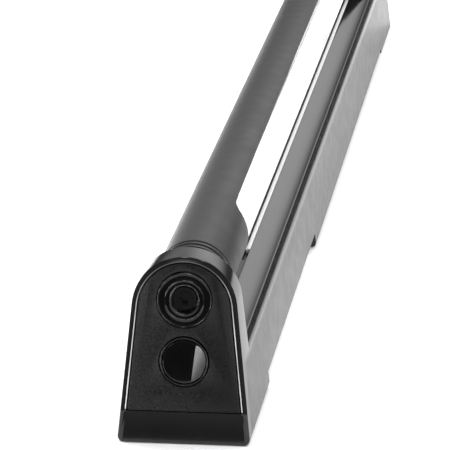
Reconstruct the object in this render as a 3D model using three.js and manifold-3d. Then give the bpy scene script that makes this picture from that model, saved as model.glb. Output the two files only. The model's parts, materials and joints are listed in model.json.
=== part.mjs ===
// Surface-mounted torsion-bar door closer.
// Millimetres, +Z away from the mounting surface, +Y along the closer from its near end to its far end.
// The origin is the middle of the near foot's underside. A turning tube runs between two end housings
// that share one slim rail beside it; a lever with a roller sits on the tube's far spindle.
import * as THREE from 'three';
import { mergeVertices } from 'three/addons/utils/BufferGeometryUtils.js';
import Module from 'manifold-3d';

const wasm = await Module();
wasm.setup();

// ---------------------------------------------------------------- driving dimensions
const GAP = 0.3; // running and seating gap between neighbouring pieces
const NEAR_Y = -19.7; // near lower edge
const LENGTH = 395.6; // near lower edge to far housing face
const HALF_WIDTH = 16; // at the mounting surface
const TAPER = THREE.MathUtils.degToRad(5.9); // each side leans in by this angle
const ARCH_R = 12.68; // radius of the housings' round top
const FACE_SLANT = THREE.MathUtils.degToRad(10.2); // the near face leans back by this angle
const NEAR_HOUSING_DEPTH = 15.1;
const FAR_HOUSING_DEPTH = 38;
const CORNER_R = 1.3; // lower corners of the near housing's outline
const BRACKET_BOTTOM = 20; // underside of the far housing left of the rail

const AXIS_Z = 33.9; // height of the tube's axis
const HUB_R = 9; // outer radius of the turning tube
const NEAR_HUB = [24.2, 56]; // start and end of the full-round near hub, from the near edge
const FAR_HUB = [334, 356.8]; // the same for the far hub
const SPINDLE_DEPTH = 6; // the far hub's web in front of the spindle's socket
const SHELL_WALL = 1.6; // wall of the open stretch between the hubs
const SHELL_EDGE = 57; // degrees above +X where the open stretch begins, and it spans half a turn

const RAIL_LEFT = 5.1;
const RAIL_RIM = 23.9; // top of the rail's left edge
const RAIL_SHOULDER = 18.4; // top of its leaning right side
const GROOVE = { left: 5.45, right: 7, floor: 22.2 }; // for the buffer strip, along the left edge
const STRIP = { left: 5.7, right: 6.5, top: 23.8, start: 70, end: 350 };
const RELIEF_Z = 3.6; // underside of the rail between its feet
const NEAR_FOOT_END = 39.4;
const FAR_FOOT_START = 147.8;
const MOUNT_HOLES = [29, 172, 258, 344]; // blind tapped holes in the feet, from the near edge
const MOUNT_HOLE_R = 2.1;
const MOUNT_HOLE_DEPTH = 11;
const MOUNT_HOLE_X = 10.3;

const BORE_R = 6.3; // bearing bore of both housings
const JOURNAL_R = 5.2;
const BAR_R = 1.8; // torsion bar
const PLATE_INSET = 1.35; // rim left around the near end plate
const PLATE_SILL = 7.4; // the plate stops this far above the mounting surface
const PLATE_POCKET = 1.5; // depth of the pocket that the plate lies in
const PLATE_T = 0.9;

const BUTTON_Z = 19.4;
const BUTTON_R = 5.15;
const STEM_R = 1.2; // the button's stem, which pushes the pawl
const PAWL_PIVOT = { y: 11.5, z: 23.3 }; // from the near edge

const LEVER_REACH = 66; // tube axis to roller axis
const ROLLER_R = 8.5;

const TAN_TAPER = Math.tan(TAPER);
const ARCH_Z = (HALF_WIDTH - ARCH_R / Math.cos(TAPER)) / TAN_TAPER; // centre of the round top
const sideX = (z) => HALF_WIDTH - z * TAN_TAPER;
const faceY = (z) => z * Math.tan(FACE_SLANT); // near face, from the near edge

// ---------------------------------------------------------------- materials
const paint = (color, roughness, metalness) => new THREE.MeshStandardMaterial({ color, roughness, metalness });
const blackPaint = paint(0x2b2b2c, 0.45, 0.3);
const texturedBlack = paint(0x1b1b1c, 0.7, 0.0);
const glossBlack = paint(0x101011, 0.18, 0.0);
const darkSteel = paint(0x4a4b4d, 0.4, 0.9);
const brightSteel = paint(0xb4b6b8, 0.3, 1.0);
const paleNylon = paint(0xe4e4e0, 0.6, 0.0);
const bronze = paint(0x9a7440, 0.4, 0.9);
const blackRubber = paint(0x1c1c1c, 0.85, 0.0);

// ---------------------------------------------------------------- geometry helpers
// Turns a closed geometry into a solid that can be joined and cut.
function solid(geometry) {
  const bare = geometry.clone();
  bare.deleteAttribute('normal');
  bare.deleteAttribute('uv');
  const merged = mergeVertices(bare, 1e-4);
  return new wasm.Manifold(new wasm.Mesh({
    numProp: 3,
    vertProperties: new Float32Array(merged.attributes.position.array),
    triVerts: new Uint32Array(merged.index.array),
  }));
}

function toGeometry(manifold) {
  const mesh = manifold.getMesh();
  const geometry = new THREE.BufferGeometry();
  geometry.setAttribute('position', new THREE.BufferAttribute(mesh.vertProperties, 3));
  geometry.setIndex(new THREE.BufferAttribute(mesh.triVerts, 1));
  return geometry;
}

// Joins the first list of geometries and takes the second list away.
function carve(adds, cuts = []) {
  let body = solid(adds[0]);
  for (const add of adds.slice(1)) body = body.add(solid(add));
  for (const cut of cuts) body = body.subtract(solid(cut));
  return toGeometry(body);
}

const both = (a, b) => toGeometry(solid(a).intersect(solid(b)));

// A shape drawn in X and Z, carried along Y from y0 to y1.
function alongY(shape, y0, y1, curveSegments = 12) {
  const geometry = new THREE.ExtrudeGeometry(shape, { depth: y1 - y0, bevelEnabled: false, curveSegments });
  return geometry.rotateX(Math.PI / 2).translate(0, y1, 0);
}

// A shape drawn in Y and Z, carried along X from x0 to x1.
function alongX(shape, x0, x1) {
  const geometry = new THREE.ExtrudeGeometry(shape, { depth: x1 - x0, bevelEnabled: false });
  const turn = new THREE.Matrix4().set(0, 0, 1, x0, 1, 0, 0, 0, 0, 1, 0, 0, 0, 0, 0, 1);
  return geometry.applyMatrix4(turn);
}

function polygon(points) {
  return new THREE.Shape(points.map(([a, b]) => new THREE.Vector2(a, b)));
}

// A round rod along Y.
function rod(r, y0, y1, x = 0, z = 0, sides = 24) {
  return new THREE.CylinderGeometry(r, r, y1 - y0, sides).translate(x, (y0 + y1) / 2, z);
}

// A body turned about the Y axis from its outline of [radius, y] points.
function turned(outline, sides = 32) {
  return new THREE.LatheGeometry(outline.map(([r, y]) => new THREE.Vector2(r, y)), sides);
}

// A plain ring about the Y axis.
function ring(inner, outer, y0, y1, sides = 32) {
  return turned([[inner, y0], [outer, y0], [outer, y1], [inner, y1], [inner, y0]], sides);
}

function block(x0, x1, y0, y1, z0, z1) {
  const box = new THREE.BoxGeometry(x1 - x0, y1 - y0, z1 - z0);
  return box.translate((x0 + x1) / 2, (y0 + y1) / 2, (z0 + z1) / 2);
}

// ---------------------------------------------------------------- placing
const closer = new THREE.Group();
const fromNear = new THREE.Group(); // everything below is laid out from the near lower edge
fromNear.position.y = NEAR_Y;
closer.add(fromNear);
const onAxis = new THREE.Group(); // pieces centred on the tube's axis
onAxis.position.z = AXIS_Z;
fromNear.add(onAxis);
const onButton = new THREE.Group(); // +Y runs into the near face, square to it
onButton.position.set(0, faceY(BUTTON_Z), BUTTON_Z);
onButton.rotation.x = -FACE_SLANT;
fromNear.add(onButton);

function piece(parent, name, geometry, material) {
  const mesh = new THREE.Mesh(geometry, material);
  mesh.name = name;
  parent.add(mesh);
  return mesh;
}

// Carries a geometry out of one of the placing groups, so that it can cut a piece laid out from the near edge.
function out(geometry, group) {
  group.updateMatrix();
  return geometry.clone().applyMatrix4(group.matrix);
}

// ---------------------------------------------------------------- housings
// The near housing's outline: leaning sides, a round top and small lower corners, inset by a margin.
function housingOutline(inset = 0, bottom = 0) {
  const foot = sideX(bottom) - inset / Math.cos(TAPER);
  const corner = CORNER_R * Math.min(1, Math.max(0.35, 1 - inset / 2));
  const lean = corner * TAN_TAPER;
  const shape = new THREE.Shape();
  shape.moveTo(-foot + corner, bottom);
  shape.lineTo(foot - corner, bottom);
  shape.quadraticCurveTo(foot, bottom, foot - lean, bottom + corner);
  shape.absarc(0, ARCH_Z, ARCH_R - inset, TAPER, Math.PI - TAPER, false);
  shape.lineTo(-foot + lean, bottom + corner);
  shape.quadraticCurveTo(-foot, bottom, -foot + corner, bottom);
  return shape;
}

// The far housing's outline: the same right side and top, but the round top is carried down to a flat
// underside, so that only a slim leg in line with the rail reaches the mounting surface.
function bracketOutline(inset = 0, bottom = 0) {
  const underside = BRACKET_BOTTOM + inset;
  const radius = ARCH_R - inset;
  const arcEnd = Math.PI + Math.asin((ARCH_Z - underside) / radius);
  const shape = new THREE.Shape();
  shape.moveTo(RAIL_LEFT + inset, bottom);
  shape.lineTo(sideX(bottom) - inset / Math.cos(TAPER), bottom);
  shape.absarc(0, ARCH_Z, radius, TAPER, arcEnd, false);
  shape.lineTo(RAIL_LEFT + inset, underside);
  shape.closePath();
  return shape;
}

// A slab parallel to the slanted near face, between two depths behind it.
function faceSlab(depth0, depth1) {
  const top = 60;
  const drop = -5;
  const outline = [
    [faceY(drop) + depth0, drop], [faceY(drop) + depth1, drop],
    [faceY(top) + depth1, top], [faceY(top) + depth0, top],
  ];
  return alongX(polygon(outline), -30, 30);
}

function nearHousing() {
  const behindFace = faceSlab(0, 60);
  const body = both(alongY(housingOutline(), 0, NEAR_HOUSING_DEPTH), behindFace);
  const basePlate = block(-HALF_WIDTH + 2, RAIL_LEFT - GAP, NEAR_HOUSING_DEPTH - 2, NEAR_FOOT_END, 0, RELIEF_Z);
  const pocket = both(alongY(housingOutline(PLATE_INSET, PLATE_SILL), -5, 30), faceSlab(-5, PLATE_POCKET));
  const bearing = out(rod(BORE_R, 0, 30), onAxis);
  const buttonBore = out(rod(BUTTON_R + 0.85, -3, 4.4), onButton);
  const stemHole = out(rod(STEM_R + 0.4, 3, 8), onButton);
  const pawlRoom = block(-3.2, 3.2, 8.7, 13.8, 15.8, 28.6);
  const noseRoom = block(-3.2, 3.2, 7.2, 9.2, 24.7, 28.6);
  const pinHole = new THREE.CylinderGeometry(1.2, 1.2, 10.6, 16).rotateZ(Math.PI / 2);
  pinHole.translate(0, PAWL_PIVOT.y, PAWL_PIVOT.z);
  return carve([body, basePlate], [pocket, bearing, buttonBore, stemHole, pawlRoom, noseRoom, pinHole]);
}

function nearEndPlate() {
  const inset = PLATE_INSET + GAP;
  const outline = housingOutline(inset, PLATE_SILL + GAP);
  const sheet = both(alongY(outline, -5, 30), faceSlab(0.25, 0.25 + PLATE_T));
  const cupHole = out(rod(BORE_R, -5, 30), onAxis);
  const buttonHole = out(rod(BUTTON_R + 1.0, -5, 10), onButton);
  return carve([sheet], [cupHole, buttonHole]);
}

const FAR_START = LENGTH - FAR_HOUSING_DEPTH;

const FAR_PLATE_SCREWS = [[10, 11], [-8.9, 31]];

function farHousing() {
  const body = alongY(bracketOutline(), FAR_START, LENGTH, 24);
  const pocket = alongY(bracketOutline(PLATE_INSET, PLATE_SILL), LENGTH - PLATE_POCKET, LENGTH + 5, 24);
  const bearing = out(rod(BORE_R, FAR_START - 5, LENGTH + 5), onAxis);
  const screwHoles = FAR_PLATE_SCREWS.map(([x, z]) => rod(1.5, LENGTH - 9, LENGTH, x, z, 12));
  return carve([body], [pocket, bearing, ...screwHoles]);
}

function farEndPlate() {
  const outline = bracketOutline(PLATE_INSET + GAP, PLATE_SILL + GAP);
  const y0 = LENGTH - PLATE_POCKET + GAP;
  const spindleHole = out(rod(JOURNAL_R + 0.5, LENGTH - 9, LENGTH + 9), onAxis);
  const screwHoles = FAR_PLATE_SCREWS.map(([x, z]) => rod(1.6, LENGTH - 9, LENGTH + 9, x, z, 12));
  return carve([alongY(outline, y0, LENGTH - 0.2, 24)], [spindleHole, ...screwHoles]);
}

function farPlateScrew([x, z]) {
  const profile = [[0, -8], [1.15, -8], [1.15, 0.1], [1.8, 0.1], [1.8, 0.6], [1.4, 0.9], [0, 0.9]];
  const socket = new THREE.CylinderGeometry(0.7, 0.7, 2, 6).translate(0, 0.9, 0);
  return carve([turned(profile, 20)], [socket]).translate(x, LENGTH, z);
}

piece(fromNear, 'near_housing', nearHousing(), blackPaint);
piece(fromNear, 'near_end_plate', nearEndPlate(), texturedBlack);
piece(fromNear, 'far_housing', farHousing(), blackPaint);
piece(fromNear, 'far_end_plate', farEndPlate(), texturedBlack);
FAR_PLATE_SCREWS.forEach((place, i) => {
  piece(fromNear, `far_plate_screw_${i + 1}`, farPlateScrew(place), darkSteel);
});

// ---------------------------------------------------------------- rail
// A slim rail whose right side carries the housings' leaning side on. Its top falls away to the right,
// and a buffer strip lies in a groove along its left edge.
function railOutline() {
  const shape = new THREE.Shape();
  shape.moveTo(RAIL_LEFT, RELIEF_Z);
  shape.lineTo(sideX(RELIEF_Z), RELIEF_Z);
  shape.lineTo(sideX(RAIL_SHOULDER), RAIL_SHOULDER);
  shape.quadraticCurveTo(sideX(19.1), 19.1, 12.6, 20.9);
  shape.quadraticCurveTo(10.9, 22.3, GROOVE.right, RAIL_RIM - 0.3);
  shape.lineTo(GROOVE.right, GROOVE.floor);
  shape.lineTo(GROOVE.left, GROOVE.floor);
  shape.lineTo(GROOVE.left, RAIL_RIM);
  shape.lineTo(RAIL_LEFT, RAIL_RIM);
  return shape;
}

function rail() {
  const start = NEAR_HOUSING_DEPTH + GAP;
  const end = FAR_START - GAP;
  const footTop = RELIEF_Z + 0.5;
  const foot = polygon([[RAIL_LEFT, 0], [sideX(0), 0], [sideX(footTop), footTop], [RAIL_LEFT, footTop]]);
  const holes = MOUNT_HOLES.map((y) => {
    const hole = new THREE.CylinderGeometry(MOUNT_HOLE_R, MOUNT_HOLE_R, 2 * MOUNT_HOLE_DEPTH, 24);
    return hole.rotateX(Math.PI / 2).translate(MOUNT_HOLE_X, y, 0);
  });
  return carve([
    alongY(railOutline(), start, end, 6),
    alongY(foot, start, NEAR_FOOT_END),
    alongY(foot, FAR_FOOT_START, end),
  ], holes);
}

const bufferStrip = block(STRIP.left, STRIP.right, STRIP.start, STRIP.end, GROOVE.floor + GAP, STRIP.top);

piece(fromNear, 'rail', rail(), blackPaint);
piece(fromNear, 'buffer_strip', bufferStrip, paleNylon);

// ---------------------------------------------------------------- turning tube
// Half a ring in section, opening down and to the right.
function shellOutline() {
  const from = THREE.MathUtils.degToRad(SHELL_EDGE);
  const shape = new THREE.Shape();
  shape.absarc(0, 0, HUB_R, from, from + Math.PI, false);
  shape.absarc(0, 0, HUB_R - SHELL_WALL, from + Math.PI, from, true);
  return shape;
}

function turningTube() {
  const [nearStart, nearEnd] = NEAR_HUB;
  const [farStart, farEnd] = FAR_HUB;
  return carve([
    rod(HUB_R, nearStart, nearEnd, 0, 0, 56),
    alongY(shellOutline(), nearEnd - 1, farStart + 1, 14),
    rod(HUB_R, farStart, farEnd, 0, 0, 56),
    rod(JOURNAL_R, 11.1, nearStart + 1, 0, 0, 28),
  ], [
    rod(6.6, nearStart + 3.4, nearEnd + 1, 0, 0, 28), // damper chamber
    rod(3.7, 10, nearStart + 5, 0, 0, 24), // room for the bar's anchor
    rod(JOURNAL_R + GAP, farStart + SPINDLE_DEPTH, farEnd + 1, 0, 0, 28), // socket for the far spindle
    rod(BAR_R + 0.5, farStart, farEnd, 0, 0, 16),
  ]);
}

piece(onAxis, 'turning_tube', turningTube(), blackPaint);
piece(onAxis, 'thrust_ring_1', ring(5.6, HUB_R - 0.25, 15.5, 19.1), darkSteel);
piece(onAxis, 'thrust_ring_2', ring(5.6, HUB_R - 0.25, 19.75, 21.35), darkSteel);
piece(onAxis, 'thrust_ring_3', ring(5.6, HUB_R - 0.25, 22.0, 23.6), darkSteel);
piece(onAxis, 'near_bush', ring(JOURNAL_R + GAP, BORE_R - GAP, 11.3, 15.1), bronze);

// ---------------------------------------------------------------- torsion bar and damper
const BAR_START = 12.4;
const BAR_END = 366;
piece(onAxis, 'torsion_bar', rod(BAR_R, BAR_START, BAR_END, 0, 0, 16), brightSteel);
piece(onAxis, 'damper_sleeve', ring(4.9, 6.3, 28.2, 52.6), brightSteel);
piece(onAxis, 'damper_rotor', damperRotor(), darkSteel);
piece(onAxis, 'damper_seal', ring(BAR_R + 0.35, 6.3, 53, 54.8), blackRubber);

// A cylinder with two vanes that shear the fluid in the sleeve.
function damperRotor() {
  const vane = block(-4.5, 4.5, 30, 51.4, -0.7, 0.7);
  return carve([rod(3.3, 29.2, 52.2, 0, 0, 24), vane], [rod(BAR_R + 0.35, 20, 60, 0, 0, 16)]);
}

// ---------------------------------------------------------------- tension adjuster
// Trims a turned piece to the slant of the near face, a little behind it.
function slantedFront(geometry, behind) {
  const keep = faceSlab(behind, 80).translate(0, 0, -AXIS_Z);
  return both(geometry, keep);
}

function adjusterCup() {
  const outline = [[4.4, 2], [BORE_R - GAP, 2], [BORE_R - GAP, 8.3], [4.4, 8.3], [4.4, 2]];
  const dish = new THREE.CylinderGeometry(4.35, 6.4, 2.2, 32).translate(0, faceY(AXIS_Z) + 0.2, 0);
  return carve([slantedFront(turned(outline), 0.5)], [dish]);
}

function adjusterScrew() {
  const outline = [[0, 3], [2.6, 3], [2.6, 7.4], [4.1, 7.6], [4.1, 8.6], [0, 8.6]];
  const face = slantedFront(turned(outline), 1.0);
  const socket = new THREE.CylinderGeometry(1.5, 1.5, 4, 6).translate(0, faceY(AXIS_Z) + 1.0, 0);
  return carve([face], [socket]);
}

// A toothed wheel that holds the bar's wind-up.
function adjusterRatchet() {
  const teeth = 18;
  const shape = new THREE.Shape();
  for (let i = 0; i < teeth; i++) {
    const turn = (i / teeth) * 2 * Math.PI;
    const next = ((i + 0.8) / teeth) * 2 * Math.PI;
    const corner = [[4.7, turn], [5.35, next]];
    for (const [radius, angle] of corner) {
      const x = radius * Math.cos(angle);
      const z = radius * Math.sin(angle);
      if (i === 0 && radius === 4.7) shape.moveTo(x, z);
      else shape.lineTo(x, z);
    }
  }
  return alongY(shape, 8.9, 10.8);
}

piece(onAxis, 'adjuster_cup', adjusterCup(), glossBlack);
piece(onAxis, 'adjuster_screw', adjusterScrew(), glossBlack);
piece(onAxis, 'adjuster_ratchet', adjusterRatchet(), darkSteel);
piece(onAxis, 'bar_anchor', carve([rod(3.4, 11.1, 26, 0, 0, 24)], [rod(BAR_R + GAP, 12.1, 30, 0, 0, 16)]), darkSteel);

// ---------------------------------------------------------------- release button and pawl
function releaseButton() {
  const outline = [[0, 5.4], [STEM_R, 5.4], [STEM_R, 1.7], [BUTTON_R, 1.7], [BUTTON_R, 0.25]];
  const dome = 5;
  for (let i = 1; i <= dome; i++) {
    const share = i / dome;
    outline.push([BUTTON_R * Math.cos(share * Math.PI / 2), 0.25 - 0.4 * Math.sin(share * Math.PI / 2)]);
  }
  outline[outline.length - 1][0] = 0;
  return turned(outline.reverse());
}

function latchPawl() {
  const outline = [[9.4, 16.8], [10.9, 16.8], [12.7, 22.4], [13.0, 24.0], [12.0, 25.1], [10.6, 28.1],
    [9.1, 28.1], [9.2, 27.0], [10.0, 24.0], [9.4, 19.5]];
  const pivotHole = new THREE.CylinderGeometry(1.2, 1.2, 20, 16).rotateZ(Math.PI / 2);
  pivotHole.translate(0, PAWL_PIVOT.y, PAWL_PIVOT.z);
  return carve([alongX(polygon(outline), -2.2, 2.2)], [pivotHole]);
}

const pawlPin = new THREE.CylinderGeometry(0.9, 0.9, 10, 16).rotateZ(Math.PI / 2);
pawlPin.translate(0, PAWL_PIVOT.y, PAWL_PIVOT.z);

piece(onButton, 'release_button', releaseButton(), glossBlack);
piece(onButton, 'button_ring', ring(BUTTON_R + 0.25, BUTTON_R + 0.65, 0.1, 4.1), darkSteel);
piece(onButton, 'button_spring', ring(2.0, 3.3, 1.7 + GAP, 4.4 - GAP), brightSteel);
piece(fromNear, 'latch_pawl', latchPawl(), darkSteel);
piece(fromNear, 'pawl_pin', pawlPin, brightSteel);

// ---------------------------------------------------------------- far spindle, lever and roller
const SPINDLE_START = FAR_HUB[0] + SPINDLE_DEPTH + GAP;
const LEVER_START = LENGTH + 1.6;
const LEVER_T = 7.5;
const LEVER_END = LEVER_START + LEVER_T;
const SPINDLE_END = LEVER_END - 0.8;

function farSpindle() {
  const flat = block(-8, 8, LEVER_START, SPINDLE_END + 5, JOURNAL_R - 1.0, 8); // flat under the clamp screw
  const barHole = rod(BAR_R + GAP, SPINDLE_START - 5, BAR_END + GAP, 0, 0, 16);
  const tapping = rod(1.9, SPINDLE_END - 12, SPINDLE_END + 5, 0, 0, 16);
  return carve([rod(JOURNAL_R, SPINDLE_START, SPINDLE_END, 0, 0, 28)], [flat, barHole, tapping]);
}

function leverArm() {
  const hubR = 10.2;
  const tipR = 6.4;
  const lean = Math.acos((hubR - tipR) / LEVER_REACH);
  const shape = new THREE.Shape();
  shape.absarc(0, 0, hubR, -Math.PI + lean, Math.PI - lean, false);
  shape.absarc(-LEVER_REACH, 0, tipR, Math.PI - lean, Math.PI + lean, false);
  const body = alongY(shape, LEVER_START, LEVER_END, 16);
  const bore = rod(JOURNAL_R + GAP, LEVER_START - 5, LEVER_END + 5, 0, 0, 28);
  const flat = block(-8, 8, LEVER_START - 1, LEVER_END + 1, JOURNAL_R - 1.0 + GAP, 8);
  const axleHole = rod(2.5, LEVER_START - 5, LEVER_END + 5, -LEVER_REACH, 0, 20);
  const clampHole = new THREE.CylinderGeometry(2.1, 2.1, 12, 16).rotateX(Math.PI / 2);
  clampHole.translate(0, LEVER_START + LEVER_T / 2, 9);
  const waist = toGeometry(solid(bore).subtract(solid(flat)));
  return carve([body], [waist, axleHole, clampHole]);
}

// A short socket screw, head up, standing on the spindle's flat.
function leverScrew() {
  const outline = [[0, 0], [1.8, 0], [1.8, 5.9], [3.2, 5.9], [3.2, 8.2], [2.9, 8.5], [0, 8.5]];
  const socket = new THREE.CylinderGeometry(1.5, 1.5, 5, 6).translate(0, 8.5, 0);
  const screw = carve([turned(outline, 20)], [socket]);
  return screw.rotateX(Math.PI / 2).translate(0, LEVER_START + LEVER_T / 2, JOURNAL_R - 1.0 + GAP);
}

function spindleScrew() {
  const outline = [[0, SPINDLE_END - 10], [1.6, SPINDLE_END - 10], [1.6, LEVER_END + 1.6], [4.2, LEVER_END + 1.6],
    [4.2, LEVER_END + 3.4], [3.4, LEVER_END + 4.2], [0, LEVER_END + 4.2]];
  const socket = new THREE.CylinderGeometry(1.7, 1.7, 5, 6).translate(0, LEVER_END + 4.2, 0);
  return carve([turned(outline, 24)], [socket]);
}

const ROLLER_START = LEVER_END + 0.8;
const ROLLER_END = ROLLER_START + 9;

function roller() {
  const outline = [[2.5, ROLLER_START], [ROLLER_R - 1, ROLLER_START], [ROLLER_R, ROLLER_START + 1],
    [ROLLER_R, ROLLER_END - 1], [ROLLER_R - 1, ROLLER_END], [2.5, ROLLER_END], [2.5, ROLLER_START]];
  return turned(outline).translate(-LEVER_REACH, 0, 0);
}

function rollerAxle() {
  const head = LEVER_START - 1.5;
  const tip = ROLLER_END + 2.6;
  const outline = [[0, head - 1.0], [3.0, head - 1.0], [4.0, head - 0.2], [4.0, LEVER_START - GAP],
    [2.2, LEVER_START - GAP], [2.2, ROLLER_END + 0.4], [1.5, ROLLER_END + 0.4], [1.5, ROLLER_END + 1.4],
    [2.2, ROLLER_END + 1.4], [2.2, tip - 0.4], [1.8, tip], [0, tip]];
  return turned(outline, 24).translate(-LEVER_REACH, 0, 0);
}

const rollerClip = ring(1.8, 4.2, ROLLER_END + 0.7, ROLLER_END + 1.1, 24).translate(-LEVER_REACH, 0, 0);

piece(onAxis, 'far_thrust_ring', ring(JOURNAL_R + GAP, HUB_R - 0.25, FAR_HUB[1] + 0.25, FAR_START - 0.25), darkSteel);
piece(onAxis, 'far_bush_1', ring(JOURNAL_R + GAP, BORE_R - GAP, FAR_START + 0.2, FAR_START + 12), bronze);
piece(onAxis, 'far_bush_2', ring(JOURNAL_R + GAP, BORE_R - GAP, LENGTH - 14, LENGTH - 2), bronze);
piece(onAxis, 'far_spindle', farSpindle(), darkSteel);
piece(onAxis, 'lever_arm', leverArm(), blackPaint);
piece(onAxis, 'lever_screw', leverScrew(), darkSteel);
piece(onAxis, 'spindle_washer', ring(2.0, 7.2, LEVER_END + 0.3, LEVER_END + 1.3, 28), brightSteel);
piece(onAxis, 'spindle_screw', spindleScrew(), darkSteel);
piece(onAxis, 'roller', roller(), blackRubber);
piece(onAxis, 'roller_axle', rollerAxle(), brightSteel);
piece(onAxis, 'roller_clip', rollerClip, brightSteel);

export default closer;
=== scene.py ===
import json
import math

import bmesh
import bpy
from mathutils import Matrix, Vector


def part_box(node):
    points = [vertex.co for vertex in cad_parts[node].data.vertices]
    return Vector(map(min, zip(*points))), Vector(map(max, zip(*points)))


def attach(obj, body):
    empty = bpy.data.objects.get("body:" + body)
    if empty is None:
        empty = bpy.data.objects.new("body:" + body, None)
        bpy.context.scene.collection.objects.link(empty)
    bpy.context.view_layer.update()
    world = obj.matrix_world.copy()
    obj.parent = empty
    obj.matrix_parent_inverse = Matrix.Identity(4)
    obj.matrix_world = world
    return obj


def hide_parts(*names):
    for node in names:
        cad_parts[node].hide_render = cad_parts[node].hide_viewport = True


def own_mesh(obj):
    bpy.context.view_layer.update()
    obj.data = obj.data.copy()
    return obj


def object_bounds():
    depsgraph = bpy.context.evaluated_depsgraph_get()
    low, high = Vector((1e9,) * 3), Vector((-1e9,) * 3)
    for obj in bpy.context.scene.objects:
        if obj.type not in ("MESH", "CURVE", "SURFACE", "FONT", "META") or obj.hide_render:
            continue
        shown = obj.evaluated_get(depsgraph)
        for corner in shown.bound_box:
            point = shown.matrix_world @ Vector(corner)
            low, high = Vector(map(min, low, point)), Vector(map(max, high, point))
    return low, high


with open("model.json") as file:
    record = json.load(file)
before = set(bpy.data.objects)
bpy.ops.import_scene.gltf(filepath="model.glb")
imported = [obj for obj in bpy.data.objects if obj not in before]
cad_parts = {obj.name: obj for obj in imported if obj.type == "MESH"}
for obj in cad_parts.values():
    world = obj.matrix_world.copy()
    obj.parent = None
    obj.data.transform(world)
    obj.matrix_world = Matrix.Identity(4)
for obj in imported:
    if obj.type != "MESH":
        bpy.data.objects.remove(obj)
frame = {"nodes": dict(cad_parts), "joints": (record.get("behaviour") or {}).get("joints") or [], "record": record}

# A slim torsion-bar door closer: one black casting (two end housings beside a slim rail), a turning tube
# between the housings, an end plate with an adjuster and a button, and a roller lever. Meshes are drawn
# in millimetres from the closer's near lower edge and scaled to metres as they are made.

cad_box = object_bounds()
JOINTS = {joint["name"]: joint for joint in frame["joints"]}
MM = 0.001


def span(node, axis):
    """Low and high side of a CAD node along one axis, in millimetres from the near lower edge."""
    low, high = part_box(node)
    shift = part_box("near_housing")[0].y if axis == 1 else 0.0
    return (low[axis] - shift) / MM, (high[axis] - shift) / MM


# ------------------------------------------------------------------ driving dimensions, in millimetres
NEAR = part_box("near_housing")[0].y / MM  # the near lower edge in the shared frame
LENGTH = span("far_housing", 1)[1]
FAR_START = span("far_housing", 1)[0]
AXIS_Z = JOINTS["tube_swing"]["pos_m"][2] / MM
HALF_WIDTH = 16
TAPER = math.radians(5.9)  # each side of the housings leans in
SLANT = math.radians(10.2)  # the near face leans back
ARCH_R = 12.68
ARCH_Z = (HALF_WIDTH - ARCH_R / math.cos(TAPER)) / math.tan(TAPER)
CORNER_R = 1.3
CORNER_STEPS = 6
NEAR_DEPTH = 15.1
BRACKET_BOTTOM = 20  # underside of the far housing left of its leg
RIM_R = 0.5  # rounding of the near face's outer edge
RIM_CHAMFER = 0.32  # shallow inner chamfer of its rim
CROWN_START = 42.6  # height at which the rim's dull sides give way to its polished crown
PLATE_INSET = 1.35
PLATE_SILL = 7.4
POCKET = 1.5
PLATE_GAP = 0.3
SILL_GAP = 0.05
BORE_R = 6.3
CUP_R = 6.55  # flange of the adjuster's cup
CUP_HOLE_R = 3.3
JOURNAL_R = 5.2
BUTTON_R = 5.15
BUTTON_Z = 19.4
FACET_X = 2.3  # where the button's facet starts
FACET_LEAN = math.radians(7)
FACE_TILT = SLANT + math.radians(2)  # the button and the adjuster lean back a little more than the face
SPRING_FRONT, SPRING_BACK = 2.0, 4.1  # depth of the button spring's two ends behind the face
HUB_R = 9.0
HUB_START = 24.2
HUB_END = span("turning_tube", 1)[1]
FAR_HUB_START = 334
SHELL_R = 7.4  # inside of the open stretch
SHELL_START = 57.5
RAIL_LEFT, RAIL_RIM = span("rail", 0)[0], span("rail", 2)[1]
RAIL_SHOULDER = 18.4
GROOVE_LEFT, GROOVE_RIGHT, GROOVE_FLOOR = 5.45, 6.75, 22.2
RELIEF_Z = 3.6
NEAR_FOOT_END = 39.4
FAR_FOOT_START = 147.8
MOUNT_HOLES = (29, 172, 258, 344)
MOUNT_HOLE_X, MOUNT_HOLE_R, MOUNT_HOLE_DEPTH = 10.3, 2.1, 11
FAR_PLATE_SCREWS = ((10, 11), (-8.9, 31))
LEVER_START, LEVER_END = span("lever_arm", 1)
LEVER_REACH = 66
ROLLER_START, ROLLER_END = span("roller", 1)
ROLLER_R = 8.5


def side_x(z):
    return HALF_WIDTH - z * math.tan(TAPER)


def face_y(z):
    """The near face, from the near lower edge."""
    return z * math.tan(SLANT)


# ------------------------------------------------------------------ camera
def make_camera():
    azimuth, elevation, roll = (math.radians(a) for a in (7.98, 18.19, -1.01))
    target = Vector((10.9, NEAR, 54.88)) * MM
    distance = 726.3 * MM
    away = Vector((math.sin(azimuth) * math.cos(elevation),
                   -math.cos(azimuth) * math.cos(elevation), math.sin(elevation)))
    level = (-away).cross(Vector((0, 0, 1))).normalized()
    upright = level.cross(-away)
    right = level * math.cos(roll) + upright * math.sin(roll)
    up = upright * math.cos(roll) - level * math.sin(roll)
    data = bpy.data.cameras.new("camera")
    data.sensor_width = 36
    data.lens = 251.5
    data.clip_start = 0.01
    data.clip_end = 50
    camera = bpy.data.objects.new("camera", data)
    bpy.context.scene.collection.objects.link(camera)
    turn = Matrix((right, up, away)).transposed().to_4x4()
    camera.matrix_world = Matrix.Translation(target + away * distance) @ turn
    bpy.context.scene.camera = camera


make_camera()


# ------------------------------------------------------------------ materials
def math_node(tree, operation, a, b):
    """A Math node on two numbers or sockets."""
    node = tree.nodes.new("ShaderNodeMath")
    node.operation = operation
    for slot, value in enumerate((a, b)):
        if isinstance(value, (int, float)):
            node.inputs[slot].default_value = value
        else:
            tree.links.new(value, node.inputs[slot])
    return node.outputs["Value"]


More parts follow.
